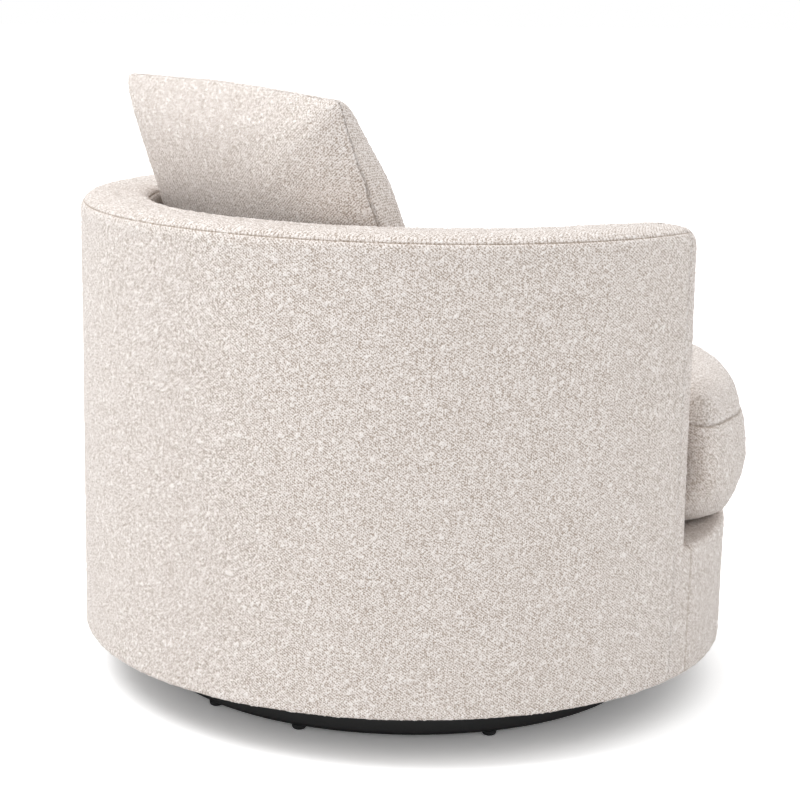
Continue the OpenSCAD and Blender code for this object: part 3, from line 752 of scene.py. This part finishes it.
def cushionOutline(inset):
    # anticlockwise in plan from the middle of the front
    edge = seatCushion["edgeRadius"] - inset
    corner = seatCushion["corner"]
    gap = seatCushion["gap"] + inset
    opening = math.radians(drum["openingHalf"])
    front = math.radians(-90)
    back = backRadius - inset
    centre = math.sqrt((edge - corner) ** 2 - (gap + corner) ** 2)
    lead = math.atan2(gap + corner, centre)

    def ear(along, ahead, side):
        turn = front + side * opening
        return Vector((
            along * math.cos(turn) + side * ahead * math.sin(turn),
            along * math.sin(turn) - side * ahead * math.cos(turn),
        ))

    def aside(along):
        return gap - seatCushion["earSwell"] * smooth(*seatCushion["earFrom"], along)

    def half(side):
        points = [
            Vector((math.cos(front + side * a), math.sin(front + side * a))) * edge
            for a in [(opening - lead) * i / 48 for i in range(48)]
        ]
        for i in range(9):
            a = (math.pi / 2 + lead) * i / 8 - lead
            reach = centre + corner * math.cos(a)
            points.append(ear(reach, aside(reach) + corner - corner * math.sin(a), side))
        for i in range(1, 13):
            reach = centre + (back - centre) * i / 12
            points.append(ear(reach, aside(reach), side))
        return points

    sweep = 2 * math.pi - 2 * opening
    round0 = front + opening
    arc = [
        Vector((math.cos(round0 + sweep * i / 90), math.sin(round0 + sweep * i / 90))) * back
        for i in range(1, 90)
    ]
    return half(1) + arc + half(-1)[:0:-1]


def roundEar(point, side, reach, corner):
    # keeps a point of the cushion inside a round corner beside one arm
    turn = math.radians(side * drum["openingHalf"] - 90)
    along = Vector((math.cos(turn), math.sin(turn)))
    ahead = Vector((side * along.y, -side * along.x))
    inside = seatCushion["gap"] + corner
    middle = along * math.sqrt((reach - corner) ** 2 - inside ** 2) + ahead * inside
    out = point - middle
    if out.dot(along) > 0 and out.dot(ahead) < 0 and out.length > corner:
        out *= corner / out.length
    return middle + out


def awayFromLine(point, outline):
    best = 1.0
    for a, b in zip(outline, outline[1:] + outline[:1]):
        side = b - a
        share = min(max((point - a).dot(side) / side.length_squared, 0), 1)
        best = min(best, (a + side * share - point).length)
    return best


def modified(piece, **kinds):
    # applies modifiers, given as kind={settings}, and returns the finished mesh
    for kind, settings in kinds.items():
        modifier = piece.modifiers.new(kind, kind)
        for name, value in settings.items():
            setattr(modifier, name, value)
    bpy.context.view_layer.update()
    graph = bpy.context.evaluated_depsgraph_get()
    mesh = bpy.data.meshes.new_from_object(piece.evaluated_get(graph))
    piece.modifiers.clear()
    piece.data = mesh
    return mesh


def looseObject(bm, name):
    mesh = bpy.data.meshes.new(name)
    bm.to_mesh(mesh)
    bm.free()
    piece = bpy.data.objects.new(name, mesh)
    bpy.context.scene.collection.objects.link(piece)
    return piece


def puffUp(piece, pressure, cap, frames=20, stiffness=15, bending=0.5):
    # blows the piece up as cloth, and lets no point move further than the cap
    start = [v.co.copy() for v in piece.data.vertices]
    cloth = piece.modifiers.new("puff", "CLOTH")
    cloth.settings.use_pressure = True
    cloth.settings.uniform_pressure_force = pressure
    cloth.settings.tension_stiffness = stiffness
    cloth.settings.compression_stiffness = stiffness
    cloth.settings.shear_stiffness = stiffness / 3
    cloth.settings.bending_stiffness = bending
    cloth.settings.effector_weights.gravity = 0
    cloth.point_cache.frame_start = 1
    cloth.point_cache.frame_end = frames
    for number in range(1, frames + 1):
        bpy.context.scene.frame_set(number)
    graph = bpy.context.evaluated_depsgraph_get()
    swollen = piece.evaluated_get(graph).to_mesh()
    ends = [v.co.copy() for v in swollen.vertices]
    piece.evaluated_get(graph).to_mesh_clear()
    piece.modifiers.clear()
    bpy.context.scene.frame_set(1)
    for vert, a, b in zip(piece.data.vertices, start, ends):
        move = b - a
        if move.length > cap:
            move *= cap / move.length
        vert.co = a + move


def makeSeatCushion(settings):
    outline = cushionOutline(settings["shrink"])
    edgeHeight = settings["edgeHeight"] - settings["shrink"]
    bm = bmesh.new()
    ring = bmesh.ops.create_circle(bm, cap_ends=True, segments=len(outline), radius=1)
    for vert, place in zip(ring["verts"], outline):
        vert.co = (place.x, place.y, 0)
    lifted = bmesh.ops.extrude_face_region(bm, geom=bm.faces[:])
    top = [g for g in lifted["geom"] if isinstance(g, bmesh.types.BMVert)]
    bmesh.ops.translate(bm, vec=(0, 0, edgeHeight), verts=top)
    bmesh.ops.recalc_face_normals(bm, faces=bm.faces)
    piece = looseObject(bm, "seatCushion")
    modified(piece, REMESH={"mode": "VOXEL", "voxel_size": settings["voxel"]})
    rise = settings["crownHeight"] - settings["edgeHeight"]
    bulge, edge, foot = settings["bulgeRadius"], settings["edgeRadius"], settings["footRadius"]
    low = settings["bulgeHeight"]
    for vert in piece.data.vertices:
        height = min(max(vert.co.z, 0), settings["edgeHeight"])
        radius = math.hypot(vert.co.x, vert.co.y)
        if height < low:
            swell = bulge - edge - (bulge - foot) * ((low - height) / low) ** 1.55
            tuck = -settings["draw"] * ((low - height) / low) ** 2
        else:
            swell = (bulge - edge) * (1 - ((height - low) / (edgeHeight - low)) ** 2)
            tuck = 0
        free = min(max((radius - backRadius) / (edge - backRadius), 0), 1)
        out = (free * swell + (1 - free) * tuck) * min(radius / edge, 1) ** 4
        if vert.co.z > edgeHeight - settings["voxel"] * 0.4:
            away = awayFromLine(vert.co.xy, outline)
            reach = 1 - min(away / settings["crownReach"], 1)
            vert.co.z += rise * (1 - reach ** 8) ** (1 / 1.9)
        elif radius > 1e-6:
            vert.co.x *= 1 + out / radius
            vert.co.y *= 1 + out / radius
            if height < low:
                share = ((low - height) / low) ** 1.3
                corner = settings["corner"]
                corner += (settings["footCorner"] - settings["corner"]) * share
                for side in (1, -1):
                    vert.co.xy = roundEar(vert.co.xy, side, edge + swell, corner)
    modified(piece, REMESH={"mode": "VOXEL", "voxel_size": settings["voxel"]})
    puffUp(piece, settings["pressure"], settings["cap"])
    modified(piece, SUBSURF={"levels": 2, "render_levels": 2})
    bm = bmesh.new()
    bm.from_mesh(piece.data)
    bpy.data.objects.remove(piece)
    flat = bm.verts.layers.float_vector.new("flat")
    edge = bm.verts.layers.float.new("edge")
    bm.verts.layers.float.new("sewn")
    bm.verts.layers.float.new("knots")
    lift = drum["deck"] + 0.0003 + settings["shrink"] * 0.5
    edgeRadius = settings["edgeRadius"]
    # the swollen front comes out to its full size again
    short = bulge - loops["height"] * 0.5 - max(v.co.xy.length for v in bm.verts)
    for vert in bm.verts:
        radius = max(vert.co.xy.length, 0.001)
        vert.co.xy *= 1 + short / radius * smooth(backRadius, bulge * 0.94, radius)
    bm.normal_update()
    crown = max(v.co.z for v in bm.verts)
    print("seat cushion came out short by", round(short, 4), "and rises", round(crown, 4))
    for vert in bm.verts:
        turn = math.atan2(vert.co.x, -vert.co.y)
        front = smooth(backRadius, edgeRadius, vert.co.xy.length)
        seam = edgeHeight - settings["seamDrop"] * front * smooth(
            *settings["seamFrom"], math.degrees(abs(turn)))
        above = vert.co.z + 0.0015 * noise.noise(vert.co * 9) - seam
        if abs(above) < settings["voxel"] / 7 and vert.normal.z < 0.9:
            # a row of the mesh follows the seam
            vert.co.z -= above
            above = 0.0
        inwards = (bulge - vert.co.xy.length) * smooth(40, 62, math.degrees(abs(turn)))
        across = turn * bulge + math.copysign(inwards, turn)
        # the top panel lies flat on the table with its sloping edge spread out
        spread = vert.co.xy + vert.normal.xy * (settings["crownHeight"] - vert.co.z)
        vert[flat] = (*spread, 0) if above > 0 else (across, vert.co.z, 0)
        vert[edge] = abs(above) + settings["seamFaint"] if vert.normal.z < 0.97 else 1.0
        vert.co += Vector((0, drum["axisY"], lift))
    sewAndRaise(bm, slack=0.0012)
    return placePiece(
        bm, "seatCushion", "seat", ("seat_cover", "seat_core"),
        clothMaterial,
    )


makeSeatCushion(seatCushion)
print("stage: seat cushion")


# Pillow: two panels sewn edge to edge, turned and filled

pillow = {
    "width": 0.516,           # metres from ear to ear, when it is filled
    "height": 0.373,
    "thickness": 0.155,
    "lean": 22,               # degrees from upright
    "roll": 0.8,              # degrees that one end lies higher
    "turn": 1.0,              # degrees that it is turned in the chair, seen from above
    "slump": (0.0, -0.009, 0.012),  # metres that the filling has settled, from the solid's middle
    "frontShare": 0.61,       # of the thickness, in front of the seam
    "sideDraw": 0.003,        # how far the sides draw in between the ears
    "topDraw": -0.004,
    "footDraw": 0.010,
    "earRound": 0.004,        # how far the ears' tips are pulled in
    "fullness": (3.2, 0.55),  # powers of a panel's rise from its edge
    "backFullness": 2.4,      # the first power for the back panel, which is rounder
    "topTaper": 0.85,         # the second power at the top of the front panel
    "grid": (116, 88),        # squares of each panel
    "crowding": 1.6,          # how much closer the squares are along the edges
    "swell": 0.004,           # metres that the filling may push a point
    "pressure": 3.0,
    "gather": 0.0022,         # metres that the seam's gathers push its edge about
}


def pillowPoint(u, v, side, settings):
    # a flat panel's point, from -1 to 1 both ways, on the front or back of the filled pillow
    reach = max(abs(u), abs(v), 1e-6)
    a, b = u / reach, v / reach
    wide, tall = settings["width"] / 2, settings["height"] / 2
    ear = 1 - settings["earRound"] / wide * smooth(0.93, 1.0, abs(a * b))
    x = a * (wide - settings["sideDraw"] * (1 - b * b)) * ear
    draw = settings["topDraw"] if b > 0 else settings["footDraw"]
    y = b * (tall - draw * (1 - a * a)) * ear
    turn = math.atan2(y / tall, x / wide)
    share = (1 - reach) ** 0.7
    x += (wide * math.cos(turn) - x) * share
    y += (tall * math.sin(turn) - y) * share
    crown, edge = settings["fullness"]
    depth = settings["thickness"] * (1 - settings["frontShare"])
    if side > 0:
        depth = settings["thickness"] - depth
        edge += (settings["topTaper"] - edge) * smooth(0.2, 1.0, b)
    else:
        crown = settings["backFullness"]
    rise = depth * (1 - reach ** crown) ** edge
    return reach * x, reach * y, rise


def makePillow(settings):
    bm = newCloth()
    flat = bm.verts.layers.float_vector["flat"]
    edge = bm.verts.layers.float["edge"]
    across, up = settings["grid"]
    for side in (1, -1):
        panel = bmesh.ops.create_grid(bm, x_segments=across, y_segments=up, size=1)
        for vert in panel["verts"]:
            u, v = [
                math.copysign(1 - (1 - min(abs(c), 1)) ** settings["crowding"], c)
                for c in vert.co.xy
            ]
            x, y, rise = pillowPoint(u, v, side, settings)
            short = (1 - max(abs(u), abs(v))) * settings["height"] / 2
            vert[flat] = (x + side, y, 0)
            vert[edge] = math.hypot(short, rise)
            vert.co = (x, y, side * rise)
        if side < 0:
            faces = list({f for v in panel["verts"] for f in v.link_faces})
            bmesh.ops.reverse_faces(bm, faces=faces)
    weld(bm)
    piece = looseObject(bm, "pillow")
    puffUp(piece, settings["pressure"], settings["swell"])
    modified(piece, SUBSURF={"levels": 1, "render_levels": 1})
    bm = bmesh.new()
    bm.from_mesh(piece.data)
    edge = bm.verts.layers.float["edge"]
    bpy.data.objects.remove(piece)
    spans = []
    for axis in range(3):
        values = [v.co[axis] for v in bm.verts]
        spans.append((min(values), max(values)))
    print("pillow measures", [round(b - a, 4) for a, b in spans])
    sizes = (settings["width"], settings["height"], settings["thickness"])
    low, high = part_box("pillow_cover")
    tilt = (
        Matrix.Rotation(math.radians(settings["turn"]), 3, "Z")
        @ Matrix.Rotation(math.radians(90 - settings["lean"]), 3, "X")
        @ Matrix.Rotation(math.radians(settings["roll"]), 3, "Z")
    )
    middle = (low + high) / 2 + Vector(settings["slump"])
    for vert in bm.verts:
        local = Vector([
            (value - (a + b) / 2) * size / (b - a)
            for value, (a, b), size in zip(vert.co, spans, sizes)
        ])
        # the sewn edge is a little wavy, because the seam gathers the cloth
        gather = settings["gather"] * noise.noise(local * 28) * math.exp(-vert[edge] / 0.03)
        vert.co = middle + tilt @ (local + Vector((0, 0, gather)))
    sewAndRaise(bm, slack=0.0009)
    # the painted seam shade fades out along the top, where the seam lies in the light
    sewn = bm.verts.layers.float["sewn"]
    for vert in bm.verts:
        vert[sewn] *= smooth(middle.z + settings["height"] * 0.44, middle.z, vert.co.z)
    return placePiece(
        bm, "pillow", "pillow", ("pillow_cover", "pillow_fill"),
        clothMaterial,
    )


makePillow(pillow)
print("stage: pillow")


# Deck under the cushion, and the dust cloth stapled under the chair

deck = {
    "radius": 0.3517,         # metres
    "height": drum["deck"],
    "thickness": 0.0105,
}
dustCloth = {
    "inner": 0.152,           # metres
    "outer": 0.414,
    "height": 0.0648,
    "sag": 0.0006,
    "staples": 40,
    "stapleIn": 0.007,        # how far the staples are from the edge
    "staple": (0.0012, 0.011, 0.0008),
}


def spinProfile(bm, points, steps, centre=(0, 0, 0)):
    # turns a line of (radius, height) points into a round piece
    verts = [bm.verts.new((radius, 0, height)) for radius, height in points]
    edges = [bm.edges.new(pair) for pair in zip(verts, verts[1:])]
    bmesh.ops.spin(
        bm, geom=verts + edges, cent=(0, 0, 0), axis=(0, 0, 1), angle=2 * math.pi,
        steps=steps, use_merge=True,
    )
    bmesh.ops.remove_doubles(bm, verts=bm.verts, dist=0.00001)
    bmesh.ops.translate(bm, vec=centre, verts=bm.verts)
    bmesh.ops.recalc_face_normals(bm, faces=bm.faces)


def makeDeckCloth(settings):
    bm = bmesh.new()
    radius, top = settings["radius"], settings["height"]
    low = top - settings["thickness"]
    points = [(0, top - 0.0006)]
    for i in range(1, 40):
        r = radius * i / 40
        points.append((r, top - 0.0006 - 0.0005 * math.sin(r * 90) ** 2))
    points += [(radius - 0.0015, top), (radius, top - 0.0015), (radius, low), (0, low)]
    spinProfile(bm, points, 128, (0, drum["axisY"], 0))
    return placePiece(
        bm, "deckCloth", "tub", ("deck_cover", "deck_pad"),
        finishes["deck_cloth"],
    )


def makeDustCloth(settings):
    bm = bmesh.new()
    inner, outer, z = settings["inner"], settings["outer"], settings["height"]
    rings = 24
    points = []
    for i in range(rings + 1):
        share = i / rings
        drop = settings["sag"] * math.sin(math.pi * share)
        points.append((inner + (outer - inner) * share, z - drop))
    spinProfile(bm, points, 160, (0, drum["axisY"], 0))
    for vert in bm.verts:
        vert.co.z += 0.0003 * noise.noise(vert.co * 24)
    for face in bm.faces:
        if face.normal.z > 0:
            face.normal_flip()
    cloth = placePiece(
        bm, "dustCloth", "tub", ("dust_cover",), finishes["dark_cloth"],
    )


def makeStaples(settings):
    bm = bmesh.new()
    for i in range(settings["staples"]):
        made = bmesh.ops.create_cube(bm, size=1)
        bmesh.ops.scale(bm, vec=settings["staple"], verts=made["verts"])
        bmesh.ops.translate(
            bm, vec=(settings["outer"] - settings["stapleIn"], 0, settings["height"] - 0.0006),
            verts=made["verts"],
        )
        turn = Matrix.Rotation(2 * math.pi * i / settings["staples"], 3, "Z")
        bmesh.ops.rotate(bm, cent=(0, 0, 0), matrix=turn, verts=made["verts"])
    bmesh.ops.bevel(
        bm, geom=bm.edges[:], offset=0.0002, segments=1, affect="EDGES", profile=0.5,
        material=-1,
    )
    bmesh.ops.translate(bm, vec=(0, drum["axisY"], 0), verts=bm.verts)
    placePiece(bm, "dustClothStaples", "tub", (), finishes["zinc_steel"])


makeDeckCloth(deck)
makeDustCloth(dustCloth)
makeStaples(dustCloth)
print("stage: deck and dust cloths")


# Floor, lamps and backdrop

studio = {
    "floor": "#e9e9e9",
    "floorSeen": 1.4,         # seen by the camera alone, so that the open floor is white
    "floorGlow": 0.08,
    "ambient": 1.01,
    "key": 92.0,              # watts
    "keySize": 3.0,           # metres
    "keyPlace": (0.9, 2.3, 4.3),
}


def makeFloor(settings):
    bm = bmesh.new()
    bmesh.ops.create_grid(bm, x_segments=1, y_segments=1, size=30)
    mesh = bpy.data.meshes.new("floor")
    bm.to_mesh(mesh)
    bm.free()
    floor = bpy.data.objects.new("floor", mesh)
    bpy.context.scene.collection.objects.link(floor)
    material, tree = newMaterial("paleFloor")
    seen = addNode(tree, "LightPath")
    shade = addNode(
        tree, "Mix", {"data_type": "RGBA"},
        {"Factor": seen.outputs["Is Camera Ray"], 6: hexColour(settings["floor"]),
         7: (settings["floorSeen"],) * 3 + (1,)},
    )
    diffuse = addNode(tree, "BsdfDiffuse", {}, {"Color": shade.outputs[2]})
    glow = addNode(tree, "Emission", {}, {"Strength": addNode(
        tree, "Math", {"operation": "MULTIPLY"},
        {0: seen.outputs["Is Camera Ray"], 1: settings["floorGlow"]},
    ).outputs[0]})
    finishMaterial(tree, addNode(
        tree, "AddShader", {}, {0: diffuse.outputs[0], 1: glow.outputs[0]},
    ))
    mesh.materials.append(material)


def makeWorld(settings):
    world = bpy.data.worlds.new("paleStudio")
    world.use_nodes = True
    tree = world.node_tree
    tree.nodes.clear()
    rays = addNode(tree, "LightPath")
    seen = rays.outputs["Is Camera Ray"]
    for name in ("Is Glossy Ray", "Is Transmission Ray"):
        seen = addNode(
            tree, "Math", {"operation": "MAXIMUM"}, {0: seen, 1: rays.outputs[name]},
        ).outputs[0]
    strength = addNode(
        tree, "MapRange", {}, {"Value": seen, "To Min": settings["ambient"], "To Max": 1.0},
    )
    sky = addNode(tree, "Background", {}, {
        "Color": (1, 1, 1, 1), "Strength": strength.outputs["Result"],
    })
    addNode(tree, "OutputWorld", {}, {"Surface": sky.outputs[0]})
    bpy.context.scene.world = world


def makeKeyLamp(settings):
    data = bpy.data.lights.new("keyLamp", "AREA")
    data.shape = "DISK"
    data.size = settings["keySize"]
    data.energy = settings["key"]
    lamp = bpy.data.objects.new("keyLamp", data)
    place = Vector(settings["keyPlace"])
    aim = Vector((0, 0, 0.35)) - place
    turn = aim.to_track_quat("-Z", "Y").to_matrix().to_4x4()
    lamp.matrix_world = Matrix.Translation(place) @ turn
    bpy.context.scene.collection.objects.link(lamp)


makeFloor(studio)
makeWorld(studio)
makeKeyLamp(studio)
bpy.context.scene.view_settings.view_transform = "Standard"
print("stage: floor, backdrop and lamp")
